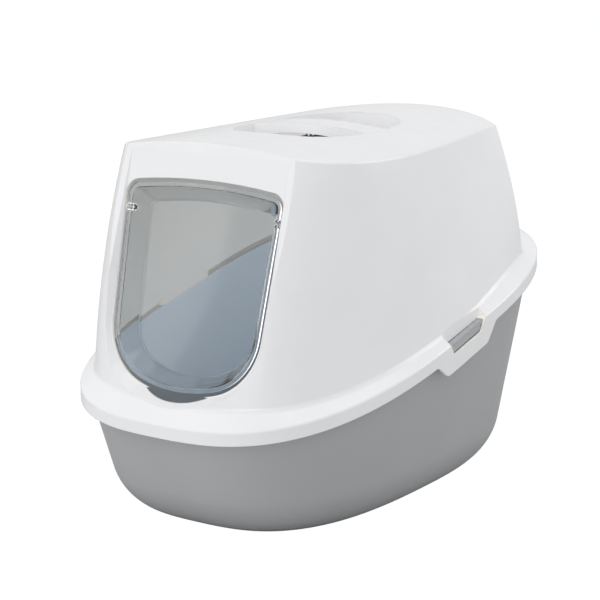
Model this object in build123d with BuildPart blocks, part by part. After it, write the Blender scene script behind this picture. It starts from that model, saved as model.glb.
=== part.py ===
from build123d import *
import os
from math import atan, copysign, cos, hypot, pi, radians, sin, sqrt

# Covered litter box, millimetres. X is across, Y runs to the rear, Z is up.
# The origin is the middle of the flat base.

# Rim: the split between tray and hood climbs to the rear
rim_length = 560.0
rim_width = 390.0
rim_height = 173.0
rim_rise = 0.24
front_fullness = 2.8
rear_fullness = 3.04
outline_points = 24

# Tray
tray_wall = 2.6
base_width = 316.0
base_front = 236.0
base_rear = 240.0
base_sag = 7.0
base_front_fullness = 2.7
base_rear_fullness = 2.5
base_round = 66.0
rim_bead = 4.2
bead_height = 4.0
rim_gap = 0.4
bead_clearance = 0.3

# Hood
hood_wall = 3.0
lip_height = 14.0
flange_width = 34.0
flange_rise = 25.5
flange_blend = 7.0
lip_bevel = 1.0
crown_height = 393.0
crown_radius = 720.0
roof_edge = 3.0

# Hood outline from the front round to the rear, as points across and along
foot_outline = [(0.0, -266.0), (113.0, -236.6), (184.4, -65.0), (164.5, 174.0), (0.0, 263.0)]
waist_outline = [(0.0, -250.0), (113.8, -221.4), (167.4, -65.0), (151.0, 177.0), (0.0, 249.0)]
roof_outline = [(0.0, -205.0), (116.2, -175.0), (146.8, -65.0), (117.0, 180.0), (0.0, 222.0)]
waist_height = 282.0
waist_rise = 0.12
roof_margin = 3.0

# Front scoop, which leans back, and its cheeks, cut off along a plane that leans more
front_lean = 14.0
pivot_height = 321.8
pivot_setback = 203.5
scoop_top_width = 199.0
scoop_margin = 1.5
scoop_flare = 38.0
scoop_reach = 70.0
scoop_rise = 110.0
cheek_lean = 17.0
cheek_height = 382.0
cheek_setback = 188.5
cheek_length = 200.0

# Doorway, measured along the leaning front from the level of the pivots
opening_crown = 35.3
opening_shoulder = 28.0
opening_top_width = 201.0
opening_low_width = 187.0
opening_hip = 158.0
opening_foot = 184.3
opening_top_round = 16.0
opening_low_round = 66.0

# Door
door_gap = 3.6
door_setback = 0.5
door_wall = 2.4
door_rim = 5.0
door_depth = 17.0
door_slope = 12.0
panel_round = 8.0
pivot_inset = 4.5
lug_radius = 4.0
lug_length = 12.0
pin_radius = 3.0
pin_clearance = 0.3
pin_reach = 3.4
boss_radius = 6.2
boss_length = 8.0

# Carry handle in the roof
recess_width = 146.0
recess_front = 92.0
recess_rear = 113.0
recess_front_fullness = 3.0
recess_rear_fullness = 2.4
recess_depth = 26.0
bar_front = -12.0
bar_rear = 29.0
bar_bow = 4.0
bar_rise = 2.0
bar_depth = 9.0
bar_root = 15.0

# Snap windows in the lip, and the tray's tongues behind them
snap_offset = 3.0
window_length = 74.0
window_depth = 11.0
window_slant = 8.0
window_sill = 0.5
window_round = 6.0
tab_length = 120.0
tab_drop = 17.5
tab_slant = 18.0
tab_round = 10.0
tab_blend = 8.0
tongue_gap = 6.0
tongue_lift = 1.5

# Filter under the handle recess
filter_length = 150.0
filter_width = 118.0
filter_height = 12.0
filter_wall = 2.0
filter_round = 24.0
pad_height = 8.0
pad_gap = 1.0
clip_length = 24.0
clip_wall = 2.4
clip_gap = 0.3
vent_width = 7.0
vent_pitch = 13.0
vent_strip = 20.0
vent_count = 3
vent_share = 1.2

half_width = rim_width / 2
half_length = rim_length / 2
roof_height = crown_height + roof_margin


def climbing_plane(height, rise=rim_rise):
    """A plane that climbs to the rear, at the given height over the origin."""
    lean = atan(rise)
    return Plane(
        origin=(0, 0, height),
        x_dir=(1, 0, 0),
        z_dir=(0, -sin(lean), cos(lean)),
    )


def oval(plane, side, front, rear, fullness=(front_fullness, rear_fullness), stretch=1.0):
    """A full oval whose corners are fuller than an ellipse's."""
    points = []
    for step in range(outline_points):
        turn = 2 * pi * step / outline_points
        across, along = cos(turn), sin(turn)
        power = 2 / (fullness[0] if along < 0 else fullness[1])
        middle, reach = (rear - front) / 2, (rear + front) / 2
        points.append(
            (
                side * copysign(abs(across) ** power, across),
                stretch * (middle + reach * copysign(abs(along) ** power, along)),
            )
        )
    with BuildSketch(plane) as sketch:
        with BuildLine():
            Spline(*points, periodic=True)
        make_face()
    return sketch.sketch


def rim_oval(height, inset=0.0):
    """The lip's outline, or one inside it, at a height over the climbing rim."""
    reach = half_length - inset
    stretch = hypot(1, rim_rise)
    return oval(climbing_plane(rim_height + height), half_width - inset, reach, reach, stretch=stretch)


# Tray
bead_top = lip_height - hood_wall - bead_clearance
wall_inset = hood_wall + rim_gap + rim_bead


def tray_form(inset, top_height):
    """The tray's bowl, filled, drawn in all round by the given inset."""
    with BuildPart() as form:
        floor = oval(
            Plane.XY.offset(inset - base_sag),
            base_width / 2 - inset,
            base_front - inset,
            base_rear - inset,
            fullness=(base_front_fullness, base_rear_fullness),
        )
        loft([floor, rim_oval(top_height, wall_inset + inset)], ruled=True)
        fillet(form.edges().group_by(Axis.Z)[0], base_round - inset)
        split(bisect_by=Plane.XY.offset(inset), keep=Keep.TOP)
    return form.part


def side_profile(plane, half):
    """A flat shape on the lip's side, from the corners of one half: reach, height over the rim, round."""
    corners = [(snap_offset + reach, height, round) for reach, height, round in half]
    corners += [(snap_offset - reach, height, round) for reach, height, round in half[::-1]]
    with BuildSketch(plane) as sketch:
        with BuildLine():
            FilletPolyline(
                *((y, rim_height + rim_rise * y + height) for y, height, round in corners),
                radius=[round for y, height, round in corners],
                close=True,
            )
        make_face()
    return sketch.sketch


with BuildPart() as tongue:
    bead_foot = bead_top - bead_height
    extrude(rim_oval(tongue_lift, hood_wall + rim_gap), amount=bead_foot - tongue_lift, dir=(0, 0, 1))
    tongue_reach = window_length / 2 - tongue_gap
    strip = side_profile(Plane.YZ, [(tongue_reach, 2 * lip_height, 0), (tongue_reach, -lip_height, 0)])
    extrude(strip, amount=rim_width, both=True, mode=Mode.INTERSECT)

with BuildPart() as litter_tray:
    add(tray_form(0, bead_top))
    extrude(rim_oval(bead_foot, hood_wall + rim_gap), amount=bead_height, dir=(0, 0, 1))
    add(tongue.part)
    add(tray_form(tray_wall, bead_top), mode=Mode.SUBTRACT)
litter_tray.part.label = "litter_tray"


# Hood
def section(plane, outline, stretch, inset):
    """One level of the hood: a curve round the front and sides, an arc at the rear."""
    half = [(x, y * stretch) for x, y in outline]
    ring = half + [(-x, y) for x, y in half[-2:0:-1]]
    moved = []
    for place, (x, y) in enumerate(ring):
        before, after = ring[place - 1], ring[(place + 1) % len(ring)]
        run, rise = after[0] - before[0], after[1] - before[1]
        length = hypot(run, rise)
        moved.append((x - inset * rise / length, y + inset * run / length))
    front, corner, side, rear_corner, rear, far_corner, far_side, far_front = moved
    with BuildSketch(plane) as sketch:
        with BuildLine():
            Spline(rear_corner, side, corner, front, far_front, far_side, far_corner)
            ThreePointArc(far_corner, rear, rear_corner)
        make_face()
    return sketch.sketch


def hood_form(inset, foot_height):
    """The hood's body, filled, drawn in by the given inset under the crowned roof."""
    with BuildPart() as form:
        loft(
            [
                section(climbing_plane(rim_height + foot_height), foot_outline, hypot(1, rim_rise), inset),
                section(climbing_plane(waist_height, waist_rise), waist_outline, 1.0, inset),
                section(Plane.XY.offset(roof_height), roof_outline, 1.0, inset),
            ]
        )
        with BuildSketch(Plane.XZ) as crown:
            with Locations((0, crown_height - crown_radius)):
                Circle(crown_radius - inset)
        extrude(crown.sketch, amount=rim_length, both=True, mode=Mode.INTERSECT)
    return form.part


def edges_between(form, low, high):
    """The edges that lie between two heights over the climbing rim."""
    chosen = []
    for edge in form.edges():
        points = [edge @ place for place in (0, 0.5, 1)]
        heights = [point.Z - rim_height - rim_rise * point.Y for point in points]
        if min(heights) > low and max(heights) < high:
            chosen.append(edge)
    return chosen


def front_plane(depth, lean=front_lean, height=pivot_height, setback=pivot_setback):
    """The leaning front, moved into the hood by a depth. Its origin is level with the pivots."""
    turn = radians(lean)
    outward = (0, -cos(turn), sin(turn))
    origin = (0, -setback - outward[1] * depth, height - outward[2] * depth)
    return Plane(origin=origin, x_dir=(1, 0, 0), z_dir=outward)


def opening_outline(plane, grow=0.0, top_round=None):
    """The doorway, or the same shape grown all round, on a plane of the front."""
    shoulder, hip = opening_top_width / 2 + grow, opening_low_width / 2 + grow
    with BuildSketch(plane) as sketch:
        with BuildLine():
            ThreePointArc(
                (-shoulder, opening_shoulder + grow),
                (0, opening_crown + grow),
                (shoulder, opening_shoulder + grow),
            )
            Line((shoulder, opening_shoulder + grow), (hip, -opening_hip - grow))
            ThreePointArc((hip, -opening_hip - grow), (0, -opening_foot - grow), (-hip, -opening_hip - grow))
            Line((-hip, -opening_hip - grow), (-shoulder, opening_shoulder + grow))
        make_face()
        corners = sketch.vertices().group_by(Axis.Y)
        fillet(corners[-1], top_round or opening_top_round + grow)
        fillet(sketch.vertices().group_by(Axis.Y)[0], opening_low_round + grow)
    return sketch.sketch


def scoop(grow):
    """The flared hollow in front of the door, open through the roof."""
    with BuildPart() as form:
        with BuildSketch(front_plane(grow)) as sketch:
            low, high = opening_low_width / 2 + scoop_margin + grow, scoop_top_width / 2 + grow
            hip, foot = opening_hip + grow, opening_foot + scoop_margin + grow
            with BuildLine():
                Polyline(
                    (low, -hip),
                    (high, opening_shoulder),
                    (high, scoop_rise),
                    (-high, scoop_rise),
                    (-high, opening_shoulder),
                    (-low, -hip),
                )
                ThreePointArc((low, -hip), (0, -foot), (-low, -hip))
            make_face()
            fillet(sketch.vertices().group_by(Axis.Y)[0], opening_low_round)
        extrude(amount=scoop_reach, taper=-scoop_flare)
    return form.part


def cheek_cut(depth):
    """What is planed off the front of the cheeks, from the roof down to the hips."""
    with BuildPart() as form:
        with BuildSketch(front_plane(depth, cheek_lean, cheek_height, cheek_setback)):
            with Locations((0, scoop_reach / 2 - cheek_length / 2)):
                Rectangle(rim_width, scoop_reach + cheek_length)
        extrude(amount=scoop_reach)
    return form.part


def pivot_rod(radius, start, end):
    """A rod along the door's axis at each side, from one distance off the middle to another."""
    axis = front_plane(pivot_inset).origin
    with BuildPart() as rods:
        for side in (1, -1):
            with BuildSketch(Plane(origin=(side * start, axis.Y, axis.Z), z_dir=(side, 0, 0))):
                Circle(radius)
        extrude(amount=end - start)
    return rods.part


# Half of the doorway's width at the pivots
jamb = (opening_top_width / 2 * opening_hip + opening_low_width / 2 * opening_shoulder) / (
    opening_hip + opening_shoulder
)
recess_floor = crown_height - recess_depth
recess_middle = (recess_rear - recess_front) / 2


def recess_oval(height, grow=0.0):
    """The handle recess in plan."""
    return oval(
        Plane.XY.offset(height),
        recess_width / 2 + grow,
        recess_front + grow,
        recess_rear + grow,
        fullness=(recess_front_fullness, recess_rear_fullness),
    )


with BuildPart() as handle_bar:
    reach = recess_width / 2 + hood_wall / 2
    end = crown_height - reach**2 / (2 * crown_radius)
    with BuildSketch(Plane.XZ):
        with BuildLine():
            ThreePointArc((-reach, end), (0, crown_height + bar_rise), (reach, end))
            Line((reach, end), (reach, end - bar_root))
            ThreePointArc(
                (reach, end - bar_root), (0, crown_height - bar_depth), (-reach, end - bar_root)
            )
            Line((-reach, end - bar_root), (-reach, end))
        make_face()
    extrude(amount=recess_rear, both=True)
    with BuildSketch(Plane.XY.offset(recess_floor)) as bar_plan:
        with BuildLine():
            ThreePointArc((-reach, bar_front), (0, bar_front - bar_bow), (reach, bar_front))
            Line((reach, bar_front), (reach, bar_rear))
            ThreePointArc((reach, bar_rear), (0, bar_rear - bar_bow), (-reach, bar_rear))
            Line((-reach, bar_rear), (-reach, bar_front))
        make_face()
    extrude(bar_plan.sketch, amount=2 * recess_depth, mode=Mode.INTERSECT)
    extrude(recess_oval(recess_floor, hood_wall / 2), amount=2 * recess_depth, mode=Mode.INTERSECT)

with BuildPart() as snap_tabs:
    extrude(rim_oval(-tab_drop), amount=tab_drop + lip_height / 2, dir=(0, 0, 1))
    extrude(
        rim_oval(-tab_drop, hood_wall), amount=tab_drop + lip_height, dir=(0, 0, 1), mode=Mode.SUBTRACT
    )
    shoulder = tab_length / 2 + tab_blend
    strip = side_profile(
        Plane.YZ,
        [
            (shoulder, lip_height / 2, 0),
            (shoulder, 0, 0),
            (tab_length / 2, 0, tab_blend),
            (tab_length / 2 - tab_slant, -tab_drop, tab_round),
        ],
    )
    extrude(strip, amount=rim_width, both=True, mode=Mode.INTERSECT)

with BuildPart() as snap_windows:
    inner_side = Plane.YZ.offset(half_width - window_depth)
    strip = side_profile(
        inner_side,
        [
            (window_length / 2, lip_height + flange_rise, 0),
            (window_length / 2, lip_height, 0),
            (window_length / 2 - window_slant, window_sill, window_round),
        ],
    )
    extrude(strip, amount=2 * window_depth)
    mirror(about=Plane.YZ)

with BuildPart() as window_walls:
    pocket_side = Plane.YZ.offset(half_width - window_depth - hood_wall)
    wall_reach = window_length / 2 + hood_wall
    strip = side_profile(
        pocket_side,
        [(wall_reach, lip_height + flange_rise, 0), (wall_reach, lip_height - hood_wall, 0)],
    )
    extrude(strip, amount=2 * window_depth)
    mirror(about=Plane.YZ)

with BuildPart() as flange_hollow:
    loft(
        [
            rim_oval(lip_height - hood_wall, hood_wall),
            rim_oval(lip_height - hood_wall + flange_rise, hood_wall + flange_width),
        ],
        ruled=True,
    )
    add(window_walls.part, mode=Mode.SUBTRACT)

with BuildPart() as cavity:
    add(hood_form(hood_wall, lip_height - hood_wall))
    add(cheek_cut(hood_wall), mode=Mode.SUBTRACT)
    add(scoop(hood_wall), mode=Mode.SUBTRACT)
    extrude(recess_oval(recess_floor - hood_wall, hood_wall), amount=rim_length, mode=Mode.SUBTRACT)
    extrude(rim_oval(0, hood_wall), amount=lip_height - hood_wall, dir=(0, 0, 1))
    add(flange_hollow.part)

filter_top = recess_floor - hood_wall
clip_reach = filter_width / 2 + clip_gap + clip_wall

with BuildPart() as filter_clips:
    with BuildSketch(Plane.XZ.offset(-recess_middle)):
        with BuildLine():
            foot = filter_top - filter_height - clip_gap
            Polyline(
                (clip_reach - clip_wall, filter_top),
                (clip_reach - clip_wall, foot),
                (clip_reach - 2 * clip_wall, foot),
                (clip_reach - 2 * clip_wall, foot - clip_wall),
                (clip_reach, foot - clip_wall),
                (clip_reach, filter_top),
                close=True,
            )
        make_face()
    extrude(amount=clip_length / 2, both=True)
    mirror(about=Plane.YZ)

with BuildPart() as vents:
    with BuildSketch(Plane.XY.offset(filter_top - filter_height - pad_gap)):
        for row in range(vent_count):
            x = vent_strip + vent_width / 2 + row * vent_pitch
            room = (recess_front + recess_rear) / 2 * sqrt(1 - (2 * x / recess_width) ** 2)
            with Locations((x, recess_middle), (-x, recess_middle)):
                SlotOverall(vent_share * room, vent_width, rotation=90)
    extrude(amount=filter_height + hood_wall + 2 * pad_gap)

with BuildPart() as hood_shell:
    add(hood_form(0, lip_height))
    extrude(rim_oval(0), amount=lip_height, dir=(0, 0, 1))
    slope = [rim_oval(lip_height), rim_oval(lip_height + flange_rise, flange_width)]
    loft(slope, ruled=True)
    fillet(edges_between(hood_shell, lip_height + lip_bevel, lip_height + flange_rise), flange_blend)
    chamfer(edges_between(hood_shell, lip_height - lip_bevel, lip_height + lip_bevel), lip_bevel)
    fillet(hood_shell.faces().filter_by(GeomType.CYLINDER)[0].edges(), roof_edge)
    add(cheek_cut(0), mode=Mode.SUBTRACT)
    add(snap_tabs.part)
    add(cavity.part, mode=Mode.SUBTRACT)
    add(pivot_rod(boss_radius, jamb, jamb + boss_length))
    add(scoop(0), mode=Mode.SUBTRACT)
    extrude(recess_oval(recess_floor), amount=rim_length, mode=Mode.SUBTRACT)
    add(handle_bar.part)
    add(filter_clips.part)
    extrude(opening_outline(front_plane(door_depth)), amount=scoop_reach, mode=Mode.SUBTRACT)
    add(pivot_rod(pin_radius + pin_clearance, 0, jamb + pin_reach + pin_clearance), mode=Mode.SUBTRACT)
    add(snap_windows.part, mode=Mode.SUBTRACT)
    add(vents.part, mode=Mode.SUBTRACT)
hood_shell.part.label = "hood_shell"


# Door: a rim round a hollowed panel, with its pins moulded on
def panel_form(wall):
    """The hollow of the door's panel, or the same with a wall round it."""
    mouth = wall - door_gap - door_rim
    with BuildPart() as form:
        loft(
            [
                opening_outline(front_plane(door_setback), mouth, panel_round),
                opening_outline(
                    front_plane(door_setback + door_depth + wall), mouth - door_slope, panel_round
                ),
            ],
            ruled=True,
        )
    return form.part


with BuildPart() as swing_door:
    extrude(opening_outline(front_plane(door_setback), -door_gap), amount=-door_wall)
    add(panel_form(door_wall))
    add(pivot_rod(lug_radius, jamb - door_gap - lug_length, jamb - door_gap))
    add(panel_form(0), mode=Mode.SUBTRACT)
    add(pivot_rod(pin_radius, jamb - door_gap - door_wall, jamb + pin_reach))
swing_door.part.label = "swing_door"


# Filter: a grid tray clipped under the recess, and the foam pad that lies in it
def filter_block(bottom, height, inset):
    """A rounded block under the handle recess."""
    with BuildPart() as block:
        with BuildSketch(Plane.XY.offset(bottom)):
            with Locations((0, recess_middle)):
                RectangleRounded(filter_width - 2 * inset, filter_length - 2 * inset, filter_round - inset)
        extrude(amount=height)
    return block.part


with BuildPart() as filter_tray:
    add(filter_block(filter_top - filter_height, filter_height, 0))
    hollow = filter_block(filter_top - filter_height + filter_wall, filter_height, filter_wall)
    add(hollow, mode=Mode.SUBTRACT)
    add(vents.part, mode=Mode.SUBTRACT)
filter_tray.part.label = "filter_tray"

carbon_filter = filter_block(filter_top - filter_height + filter_wall, pad_height, filter_wall + pad_gap)
carbon_filter.label = "carbon_filter"

os.makedirs("parts", exist_ok=True)
for piece in (litter_tray.part, hood_shell.part, swing_door.part, filter_tray.part, carbon_filter):
    export_step(piece, f"parts/{piece.label}.step")
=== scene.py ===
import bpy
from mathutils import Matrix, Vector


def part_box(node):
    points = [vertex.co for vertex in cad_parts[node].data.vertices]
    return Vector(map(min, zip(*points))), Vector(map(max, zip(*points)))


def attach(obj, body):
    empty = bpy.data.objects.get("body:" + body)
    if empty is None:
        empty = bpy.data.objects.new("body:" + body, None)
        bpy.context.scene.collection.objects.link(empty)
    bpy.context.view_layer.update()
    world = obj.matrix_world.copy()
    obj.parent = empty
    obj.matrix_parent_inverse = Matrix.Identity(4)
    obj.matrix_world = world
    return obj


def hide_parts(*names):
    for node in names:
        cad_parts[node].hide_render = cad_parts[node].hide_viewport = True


bl_info = {
    "name": "Covered litter box",
    "version": (1, 0, 0),
    "blender": (4, 5, 0),
    "location": "3D View > Sidebar > Litter box",
    "description": "Gives a covered litter box its moulded plastics, its foam filter pad and a pale studio",
    "category": "Object",
}

from math import cos, radians, sin

import bpy
from bpy.props import FloatProperty, FloatVectorProperty, PointerProperty
from mathutils import Matrix, Vector

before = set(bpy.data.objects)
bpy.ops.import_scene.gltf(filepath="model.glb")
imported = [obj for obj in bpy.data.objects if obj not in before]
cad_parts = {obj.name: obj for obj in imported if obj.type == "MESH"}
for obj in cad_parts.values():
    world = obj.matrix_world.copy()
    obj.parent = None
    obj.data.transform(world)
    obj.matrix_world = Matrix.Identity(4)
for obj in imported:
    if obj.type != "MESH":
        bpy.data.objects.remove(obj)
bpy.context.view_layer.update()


# Sizes and colours that a user would change
def colour(name, description, default):
    return FloatVectorProperty(
        name=name, description=description, default=default, size=3, subtype="COLOR", min=0, max=1
    )


def lamp_power(name, description, default):
    return FloatProperty(name=name, description=description, default=default, min=0, unit="POWER")


class PlasticSettings(bpy.types.PropertyGroup):
    hood: colour("Hood", "Colour of the hood's white plastic", (0.84, 0.845, 0.86))
    tray: colour("Tray", "Colour of the tray's grey plastic", (0.400, 0.411, 0.419))
    door: colour("Door", "Tint of the door's clear plastic", (0.98, 0.985, 0.99))
    holder: colour("Filter holder", "Colour of the filter holder's plastic", (0.78, 0.79, 0.80))
    hood_roughness: FloatProperty(
        name="Hood roughness", description="How dull the hood's satin face is", default=0.22, min=0, max=1
    )
    hood_glow: colour(
        "Hood glow", "Light that each face of the thin white wall lets through", (0.97, 0.955, 0.93)
    )
    # Painted light: the hood's inner faces get this paler, warmer tone, standing in for light that soaks through the
    # thin white wall
    hood_inside_painted_light: colour("Hood inside", "Colour of the hood's inner face", (0.97, 0.94, 0.885))
    # Painted light: the tray's inner faces get this paler, bluish tone for every ray but the camera's, standing in for
    # the light and the door's haze inside the box
    tray_inside_painted_light: colour(
        "Tray inside", "Colour of the tray's inner face as it looks through the door", (0.56, 0.665, 0.77)
    )
    tray_roughness: FloatProperty(
        name="Tray roughness", description="How dull the tray's face is", default=0.5, min=0, max=1
    )
    grain_size: FloatProperty(
        name="Grain size",
        description="Distance from one bump of the mould's grain to the next",
        default=0.0011,
        min=0.0002,
        unit="LENGTH",
    )


class PadSettings(bpy.types.PropertyGroup):
    colour: colour("Foam", "Colour of the carbon foam", (0.022, 0.022, 0.024))
    cell_size: FloatProperty(
        name="Cell size", description="Size of the foam's open cells", default=0.0022, min=0.0005, unit="LENGTH"
    )
    cell_depth: FloatProperty(
        name="Cell depth", description="How deep the open cells are", default=0.0007, min=0, unit="LENGTH"
    )
    corner_round: FloatProperty(
        name="Corner round", description="Radius of the pad's corners in plan", default=0.021, min=0.001, unit="LENGTH"
    )
    edge_round: FloatProperty(
        name="Edge round", description="Radius of the pad's soft edge", default=0.0016, min=0.0002, unit="LENGTH"
    )


class StudioSettings(bpy.types.PropertyGroup):
    floor: colour("Floor", "Colour of the pale floor", (0.50, 0.50, 0.50))
    backdrop: colour("Backdrop", "Colour of what stands behind the box", (1.0, 1.0, 1.0))
    backdrop_light: FloatProperty(
        name="Backdrop light", description="Strength of the seen backdrop and floor", default=1.06, min=0
    )
    floor_white: FloatProperty(
        name="Floor white", description="How much of the seen floor is plain white", default=0.95, min=0, max=1
    )
    sky: FloatProperty(name="Sky", description="Strength of the even light", default=0.74, min=0)
    key: lamp_power("Key lamp", "Power of the large lamp over the front", 6.0)
    left: lamp_power("Left lamp", "Power of the low lamp at the front left", 9.0)
    right: lamp_power("Right lamp", "Power of the lamp at the right rear", 19.0)
    top: lamp_power("Top lamp", "Power of the large lamp over the roof", 11.5)
    front: lamp_power("Front lamp", "Power of the low lamp before the door", 17.0)


class LitterBoxSettings(bpy.types.PropertyGroup):
    plastic: PointerProperty(type=PlasticSettings, name="Plastics", description="The moulded finishes")
    pad: PointerProperty(type=PadSettings, name="Pad", description="The foam filter pad")
    studio: PointerProperty(type=StudioSettings, name="Studio", description="Floor, lamps and sky")


# The photograph's view, in metres and pixels
VIEW_AZIMUTH = 34.49
VIEW_ELEVATION = 12.42
VIEW_DISTANCE = 2.21709
VIEW_TARGET = Vector((0, 0, 0.190))
FOCAL_PIXELS = 2005.11
PICTURE_SIDE = 600
PICTURE_CENTRE = (314.91, 306.55)
SENSOR = 36.0
FAR_CLIP = 60

# The studio: each lamp's width, place and whether it shows in reflections
BOX_MIDDLE = (0, 0, 0.2)
LAMPS = {
    "key": (2.4, (-1.3, -2.0, 2.3), True),
    "left": (1.6, (-2.1, -1.7, 0.75), False),
    "right": (1.8, (2.0, 2.0, 1.4), True),
    "top": (2.4, (0.2, 0.4, 3.0), True),
    "front": (1.6, (0.3, -2.8, 0.5), True),
}
FLOOR_SIDE = 60
FLOOR_ROUGHNESS = 0.8

# Depth of the mould's grain, and the small radius at sharp edges, in metres
HOOD_GRAIN = 0.00005
TRAY_GRAIN = 0.0002
HOOD_EDGE = 0.0009
DOOR_EDGE = 0.0008

# Size of the slow drifts of tone and of the duller and shinier patches, and how far those patches differ
DRIFT_SIZE = 0.09
PATCH_SIZE = 0.018
PATCH_DEPTH = 0.03

# The clear door: refraction, and its roughness from the smoothest patch to the dullest
CLEAR_IOR = 1.49
CLEAR_PATCH_SIZE = 0.03
CLEAR_ROUGHNESS = (0.02, 0.05)

# The foam: how much paler the cells' rims are than the painted shade in their pits, its roughness, and the skin's
# fineness as a share of a cell
RIM_PALER = 2.4
FOAM_PATCH_SIZE = 0.01
FOAM_ROUGHNESS = (0.85, 0.97)
SKIN_SHARE = 0.6
CORNER_STEPS = 12
EDGE_STEPS = 3

# Where each shell's inner faces get painted light: a point that those faces look to, and the height that they end at
TRAY_PAINTED_LIGHT_ZONE = ((0, 0, 0.1), 1.0)
HOOD_PAINTED_LIGHT_ZONE = ((0, 0, 0.2), 0.362)


# Node helpers
def new_material(name):
    material = bpy.data.materials.new(name)
    material.use_nodes = True
    nodes = material.node_tree.nodes
    return material, nodes, material.node_tree.links, nodes["Principled BSDF"]


def node(nodes, kind, **values):
    """A new node, each value set on the input of its name, or else on the node itself."""
    made = nodes.new(kind)
    for key, value in values.items():
        if key in made.inputs:
            made.inputs[key].default_value = value
        else:
            setattr(made, key, value)
    return made


def noise(nodes, links, size, detail=2.0, roughness=0.5):
    """Noise on the object's own coordinates, with features of the given size in metres."""
    place = nodes.new("ShaderNodeTexCoord")
    texture = node(nodes, "ShaderNodeTexNoise", Scale=1 / size, Detail=detail, Roughness=roughness)
    links.new(place.outputs["Object"], texture.inputs["Vector"])
    return texture.outputs["Fac"]


def spread(nodes, links, source, low, high):
    """The source's middle half spread between two values."""
    ranged = nodes.new("ShaderNodeMapRange")
    ranged.inputs["From Min"].default_value = 0.25
    ranged.inputs["From Max"].default_value = 0.75
    ranged.inputs["To Min"].default_value = low
    ranged.inputs["To Max"].default_value = high
    links.new(source, ranged.inputs["Value"])
    return ranged.outputs["Result"]


def tones(nodes, links, source, dark, light):
    """A colour between two tones, by a source from 0 to 1."""
    ramp = nodes.new("ShaderNodeValToRGB")
    ramp.color_ramp.elements[0].position = 0.3
    ramp.color_ramp.elements[1].position = 0.7
    ramp.color_ramp.elements[0].color = (*dark, 1)
    ramp.color_ramp.elements[1].color = (*light, 1)
    links.new(source, ramp.inputs["Fac"])
    return ramp.outputs["Color"]


def faces_inward(nodes, links, middle, top):
    """One where a face lower than the top looks towards a point inside the piece, and none elsewhere."""
    place, shape = nodes.new("ShaderNodeTexCoord"), nodes.new("ShaderNodeNewGeometry")
    inward = node(nodes, "ShaderNodeVectorMath", operation="SUBTRACT")
    inward.inputs[0].default_value = middle
    links.new(place.outputs["Object"], inward.inputs[1])
    across = node(nodes, "ShaderNodeVectorMath", operation="DOT_PRODUCT")
    links.new(inward.outputs["Vector"], across.inputs[0])
    links.new(shape.outputs["True Normal"], across.inputs[1])
    side = node(nodes, "ShaderNodeMath", operation="GREATER_THAN")
    links.new(across.outputs["Value"], side.inputs[0])
    side.inputs[1].default_value = 0.0
    height = nodes.new("ShaderNodeSeparateXYZ")
    links.new(place.outputs["Object"], height.inputs["Vector"])
    lower = node(nodes, "ShaderNodeMath", operation="LESS_THAN")
    links.new(height.outputs["Z"], lower.inputs[0])
    lower.inputs[1].default_value = top
    both = node(nodes, "ShaderNodeMath", operation="MULTIPLY")
    links.new(side.outputs["Value"], both.inputs[0])
    links.new(lower.outputs["Value"], both.inputs[1])
    return both.outputs["Value"]


def seen_rays(nodes, links, share):
    """A share for what is seen straight on or through the clear door, and none for what lights the box."""
    rays = nodes.new("ShaderNodeLightPath")
    seen = node(nodes, "ShaderNodeMath", operation="MAXIMUM")
    links.new(rays.outputs["Is Camera Ray"], seen.inputs[0])
    links.new(rays.outputs["Is Transmission Ray"], seen.inputs[1])
    scaled = node(nodes, "ShaderNodeMath", operation="MULTIPLY")
    links.new(seen.outputs["Value"], scaled.inputs[0])
    scaled.inputs[1].default_value = share
    return scaled.outputs["Value"]


def paint_inner_light(material, shader, inside, tone, straight_on):
    """Paints light onto the faces that look inwards as a paler tone, for every ray when straight on, or else for every
    ray but the camera's.
    """
    nodes, links = material.node_tree.nodes, material.node_tree.links
    inward = faces_inward(nodes, links, *inside)
    if not straight_on:
        rays = nodes.new("ShaderNodeLightPath")
        indirect = node(nodes, "ShaderNodeMath", operation="SUBTRACT", use_clamp=True)
        links.new(inward, indirect.inputs[0])
        links.new(rays.outputs["Is Camera Ray"], indirect.inputs[1])
        inward = indirect.outputs["Value"]
    mix = node(nodes, "ShaderNodeMix", data_type="RGBA")
    links.new(inward, mix.inputs["Factor"])
    links.new(shader.inputs["Base Color"].links[0].from_socket, mix.inputs["A"])
    mix.inputs["B"].default_value = (*tone, 1)
    links.new(mix.outputs["Result"], shader.inputs["Base Color"])


def shade(tone, factor):
    """A darker or paler tone, no brighter than white."""
    return [min(1.0, part * factor) for part in tone]


def moulded_plastic(name, tone, roughness, grain, depth, drift=0.02):
    """Moulded plastic: slow drifts of tone, a roughness that varies and the mould's fine grain."""
    material, nodes, links, shader = new_material(name)
    slow = noise(nodes, links, DRIFT_SIZE, detail=3)
    drifting = tones(nodes, links, slow, shade(tone, 1 - drift), shade(tone, 1 + drift))
    links.new(drifting, shader.inputs["Base Color"])
    patches = noise(nodes, links, PATCH_SIZE, detail=4)
    dullness = spread(nodes, links, patches, roughness - PATCH_DEPTH, roughness + PATCH_DEPTH)
    links.new(dullness, shader.inputs["Roughness"])
    bump = node(nodes, "ShaderNodeBump", Strength=0.25, Distance=depth)
    links.new(noise(nodes, links, grain, detail=2, roughness=0.6), bump.inputs["Height"])
    links.new(bump.outputs["Normal"], shader.inputs["Normal"])
    return material, shader


def pass_lamps(material, shader, tint):
    """Lets the lamps' light through a thin or clear wall, which still looks as its shader says."""
    nodes, links = material.node_tree.nodes, material.node_tree.links
    passing = node(nodes, "ShaderNodeBsdfTransparent", Color=(*tint, 1))
    rays = nodes.new("ShaderNodeLightPath")
    mix = nodes.new("ShaderNodeMixShader")
    links.new(rays.outputs["Is Shadow Ray"], mix.inputs["Fac"])
    links.new(shader.outputs["BSDF"], mix.inputs[1])
    links.new(passing.outputs["BSDF"], mix.inputs[2])
    links.new(mix.outputs["Shader"], nodes["Material Output"].inputs["Surface"])


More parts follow.
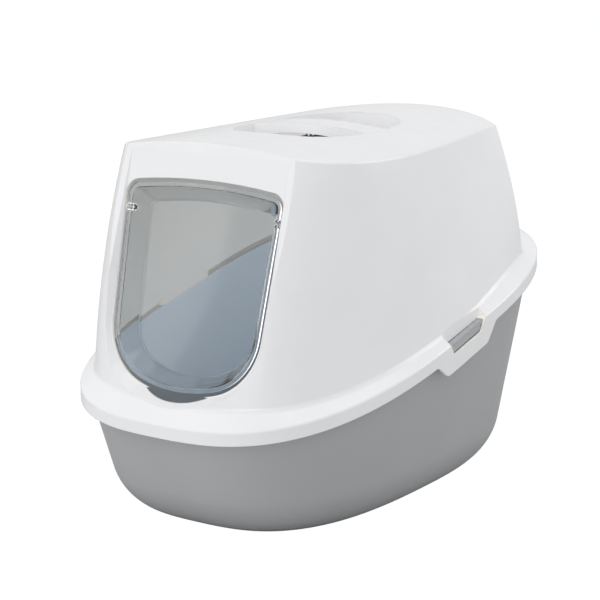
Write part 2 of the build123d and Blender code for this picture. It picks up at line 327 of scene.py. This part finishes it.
def rounded_edges(material, shader, radius):
    """Softens the sharp edges by the given radius, under the grain."""
    nodes, links = material.node_tree.nodes, material.node_tree.links
    edge = node(nodes, "ShaderNodeBevel", Radius=radius)
    grain = next((made for made in nodes if made.bl_idname == "ShaderNodeBump"), None)
    links.new(edge.outputs["Normal"], (grain or shader).inputs["Normal"])


def dress(name, material):
    """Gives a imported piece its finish."""
    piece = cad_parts[name]
    piece.data.materials.clear()
    piece.data.materials.append(material)
    return piece


class LITTERBOX_OT_camera(bpy.types.Operator):
    """Set the camera where the photograph was taken from"""

    bl_idname = "litterbox.camera"
    bl_label = "Camera"

    def execute(self, context):
        data = bpy.data.cameras.new("Camera")
        data.sensor_width = SENSOR
        data.lens = FOCAL_PIXELS * SENSOR / PICTURE_SIDE
        data.shift_x = (PICTURE_SIDE / 2 - PICTURE_CENTRE[0]) / PICTURE_SIDE
        data.shift_y = (PICTURE_CENTRE[1] - PICTURE_SIDE / 2) / PICTURE_SIDE
        data.clip_end = FAR_CLIP
        camera = bpy.data.objects.new("Camera", data)
        context.scene.collection.objects.link(camera)
        turn, lift = radians(VIEW_AZIMUTH), radians(VIEW_ELEVATION)
        back = Vector((sin(turn) * cos(lift), -cos(turn) * cos(lift), sin(lift)))
        camera.location = VIEW_TARGET + back * VIEW_DISTANCE
        camera.rotation_euler = (-back).to_track_quat("-Z", "Y").to_euler()
        context.scene.camera = camera
        return {"FINISHED"}


def area_lamp(name, power, side, place, target, shows):
    """A round soft lamp that faces the target."""
    data = bpy.data.lights.new(name, "AREA")
    data.energy = power
    data.shape = "DISK"
    data.size = side
    lamp = bpy.data.objects.new(name, data)
    bpy.context.scene.collection.objects.link(lamp)
    lamp.location = place
    lamp.rotation_euler = (Vector(target) - Vector(place)).to_track_quat("-Z", "Y").to_euler()
    lamp.visible_glossy = shows


class LITTERBOX_OT_studio(bpy.types.Operator):
    """Lay the pale floor, and hang the soft lamps and the sky"""

    bl_idname = "litterbox.studio"
    bl_label = "Studio"

    def execute(self, context):
        settings = context.scene.litter_box.studio
        bpy.ops.object.select_all(action="DESELECT")
        bpy.ops.mesh.primitive_plane_add(size=FLOOR_SIDE, location=(0, 0, 0))
        floor = context.object
        floor.name = "floor"
        floor.data.transform(floor.matrix_world)
        floor.matrix_world = Matrix.Identity(4)
        material, nodes, links, shader = new_material("pale_floor")
        shader.inputs["Base Color"].default_value = (*settings.floor, 1)
        shader.inputs["Roughness"].default_value = FLOOR_ROUGHNESS
        backdrop = {"Color": (*settings.backdrop, 1), "Strength": settings.backdrop_light}
        white = node(nodes, "ShaderNodeEmission", **backdrop)
        seen = nodes.new("ShaderNodeMixShader")
        links.new(seen_rays(nodes, links, settings.floor_white), seen.inputs["Fac"])
        links.new(shader.outputs["BSDF"], seen.inputs[1])
        links.new(white.outputs["Emission"], seen.inputs[2])
        links.new(seen.outputs["Shader"], nodes["Material Output"].inputs["Surface"])
        floor.data.materials.append(material)
        for name, (size, place, shows) in LAMPS.items():
            area_lamp(f"{name}_lamp", getattr(settings, name), size, place, BOX_MIDDLE, shows)
        world = bpy.data.worlds.new("sky")
        context.scene.world = world
        world.use_nodes = True
        nodes, links = world.node_tree.nodes, world.node_tree.links
        light = nodes["Background"]
        light.inputs["Color"].default_value = (*settings.backdrop, 1)
        light.inputs["Strength"].default_value = settings.sky
        seen = node(nodes, "ShaderNodeBackground", **backdrop)
        mix = nodes.new("ShaderNodeMixShader")
        links.new(seen_rays(nodes, links, 1.0), mix.inputs["Fac"])
        links.new(light.outputs["Background"], mix.inputs[1])
        links.new(seen.outputs["Background"], mix.inputs[2])
        links.new(mix.outputs["Shader"], nodes["World Output"].inputs["Surface"])
        context.scene.view_settings.view_transform = "Standard"
        return {"FINISHED"}


class LITTERBOX_OT_tray(bpy.types.Operator):
    """Give the litter tray its grey plastic"""

    bl_idname = "litterbox.tray"
    bl_label = "Litter tray"

    def execute(self, context):
        settings = context.scene.litter_box.plastic
        grey, shader = moulded_plastic(
            "grey_plastic", settings.tray, settings.tray_roughness, settings.grain_size, TRAY_GRAIN
        )
        # Painted light: a paler, bluish tone on the tray's inner faces, kept from camera rays so it shows only through
        # the clear door and in bounced light
        paint_inner_light(grey, shader, TRAY_PAINTED_LIGHT_ZONE, settings.tray_inside_painted_light, False)
        rounded_edges(grey, shader, HOOD_EDGE)
        dress("litter_tray", grey)
        return {"FINISHED"}


class LITTERBOX_OT_hood(bpy.types.Operator):
    """Give the hood its white satin plastic"""

    bl_idname = "litterbox.hood"
    bl_label = "Hood"

    def execute(self, context):
        settings = context.scene.litter_box.plastic
        white, shader = moulded_plastic(
            "white_plastic", settings.hood, settings.hood_roughness, settings.grain_size, HOOD_GRAIN
        )
        # Painted light: a paler, warmer tone on the hood's inner faces, for every ray
        paint_inner_light(white, shader, HOOD_PAINTED_LIGHT_ZONE, settings.hood_inside_painted_light, True)
        pass_lamps(white, shader, settings.hood_glow)
        rounded_edges(white, shader, HOOD_EDGE)
        dress("hood_shell", white)
        return {"FINISHED"}


class LITTERBOX_OT_door(bpy.types.Operator):
    """Give the swing door its clear plastic"""

    bl_idname = "litterbox.door"
    bl_label = "Swing door"

    def execute(self, context):
        settings = context.scene.litter_box.plastic
        material, nodes, links, shader = new_material("clear_plastic")
        shader.inputs["Base Color"].default_value = (*settings.door, 1)
        shader.inputs["Transmission Weight"].default_value = 1.0
        shader.inputs["IOR"].default_value = CLEAR_IOR
        patches = noise(nodes, links, CLEAR_PATCH_SIZE)
        links.new(spread(nodes, links, patches, *CLEAR_ROUGHNESS), shader.inputs["Roughness"])
        pass_lamps(material, shader, settings.door)
        rounded_edges(material, shader, DOOR_EDGE)
        dress("swing_door", material)
        return {"FINISHED"}


class LITTERBOX_OT_filter_holder(bpy.types.Operator):
    """Give the filter's grid tray its plastic"""

    bl_idname = "litterbox.filter_holder"
    bl_label = "Filter holder"

    def execute(self, context):
        settings = context.scene.litter_box.plastic
        white, shader = moulded_plastic(
            "filter_plastic", settings.holder, settings.tray_roughness, settings.grain_size, HOOD_GRAIN
        )
        rounded_edges(white, shader, HOOD_EDGE)
        dress("filter_tray", white)
        return {"FINISHED"}


def round_edges(piece, chosen, radius, steps):
    """Bevels the edges whose run, from end to end, is one of those chosen."""
    for edge in piece.data.edges:
        start, end = (piece.data.vertices[place].co for place in edge.vertices)
        edge.select = chosen(end - start)
    bpy.ops.object.mode_set(mode="EDIT")
    bpy.ops.mesh.select_mode(type="EDGE")
    bpy.ops.mesh.bevel(offset=radius, segments=steps, affect="EDGES")
    bpy.ops.object.mode_set(mode="OBJECT")


def foam(settings):
    """Open carbon foam: painted shade in each cell's pit, paler rims, dull all over."""
    material, nodes, links, shader = new_material("carbon_foam")
    place = nodes.new("ShaderNodeTexCoord")
    cells = node(nodes, "ShaderNodeTexVoronoi", Scale=1 / settings.cell_size)
    links.new(place.outputs["Object"], cells.inputs["Vector"])
    # Painted shade: the colour darkens towards each cell's pit, where the bump sinks, and grows paler on the rims
    rim = shade(settings.colour, RIM_PALER)
    pit_shade_tones = tones(nodes, links, cells.outputs["Distance"], settings.colour, rim)
    links.new(pit_shade_tones, shader.inputs["Base Color"])
    dull = spread(nodes, links, noise(nodes, links, FOAM_PATCH_SIZE), *FOAM_ROUGHNESS)
    links.new(dull, shader.inputs["Roughness"])
    bump = node(nodes, "ShaderNodeBump", Strength=0.6, Distance=settings.cell_depth)
    links.new(cells.outputs["Distance"], bump.inputs["Height"])
    links.new(bump.outputs["Normal"], shader.inputs["Normal"])
    return material


class LITTERBOX_OT_filter_pad(bpy.types.Operator):
    """Model the carbon foam pad that lies in the filter holder"""

    bl_idname = "litterbox.filter_pad"
    bl_label = "Filter pad"

    def execute(self, context):
        settings = context.scene.litter_box.pad
        low, high = (Vector(corner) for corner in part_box("carbon_filter"))
        size = high - low
        bpy.ops.object.select_all(action="DESELECT")
        bpy.ops.mesh.primitive_cube_add(size=1)
        pad = context.object
        pad.name = "filter_pad"
        pad.data.transform(Matrix.Translation((low + high) / 2) @ Matrix.Diagonal((*size, 1)))
        round_edges(pad, lambda run: abs(run.z) > size.z / 2, settings.corner_round, CORNER_STEPS)
        flat = settings.edge_round / 9
        round_edges(pad, lambda run: abs(run.z) < flat, settings.edge_round, EDGE_STEPS)
        remesh = pad.modifiers.new("skin", "REMESH")
        remesh.mode = "VOXEL"
        remesh.voxel_size = settings.cell_size * SKIN_SHARE
        cells = bpy.data.textures.new("foam_cells", "VORONOI")
        cells.noise_scale = settings.cell_size
        pits = pad.modifiers.new("cells", "DISPLACE")
        pits.texture = cells
        pits.texture_coords = "LOCAL"
        pits.mid_level = 1.0
        pits.strength = settings.cell_depth
        for modifier in ("skin", "cells"):
            bpy.ops.object.modifier_apply(modifier=modifier)
        bpy.ops.object.shade_smooth()
        pad.data.materials.append(foam(settings))
        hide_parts("carbon_filter")
        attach(pad, "hood")
        return {"FINISHED"}


class LITTERBOX_PT_panel(bpy.types.Panel):
    """Lists the steps and their settings"""

    bl_idname = "LITTERBOX_PT_panel"
    bl_label = "Covered litter box"
    bl_space_type = "VIEW_3D"
    bl_region_type = "UI"
    bl_category = "Litter box"

    def draw(self, context):
        for step in STEPS:
            self.layout.operator(step.bl_idname)
        settings = context.scene.litter_box
        for group in (settings.plastic, settings.pad, settings.studio):
            box = self.layout.box()
            for name in group.__annotations__:
                box.prop(group, name)


STEPS = (
    LITTERBOX_OT_camera,
    LITTERBOX_OT_studio,
    LITTERBOX_OT_tray,
    LITTERBOX_OT_hood,
    LITTERBOX_OT_door,
    LITTERBOX_OT_filter_holder,
    LITTERBOX_OT_filter_pad,
)
CLASSES = (PlasticSettings, PadSettings, StudioSettings, LitterBoxSettings, *STEPS, LITTERBOX_PT_panel)


def register():
    for made in CLASSES:
        bpy.utils.register_class(made)
    bpy.types.Scene.litter_box = PointerProperty(
        type=LitterBoxSettings, name="Litter box", description="Finishes of the covered litter box"
    )


def unregister():
    del bpy.types.Scene.litter_box
    for made in reversed(CLASSES):
        bpy.utils.unregister_class(made)


def main():
    register()
    for step in STEPS:
        group, name = step.bl_idname.split(".")
        getattr(getattr(bpy.ops, group), name)()


if __name__ == "__main__":
    main()
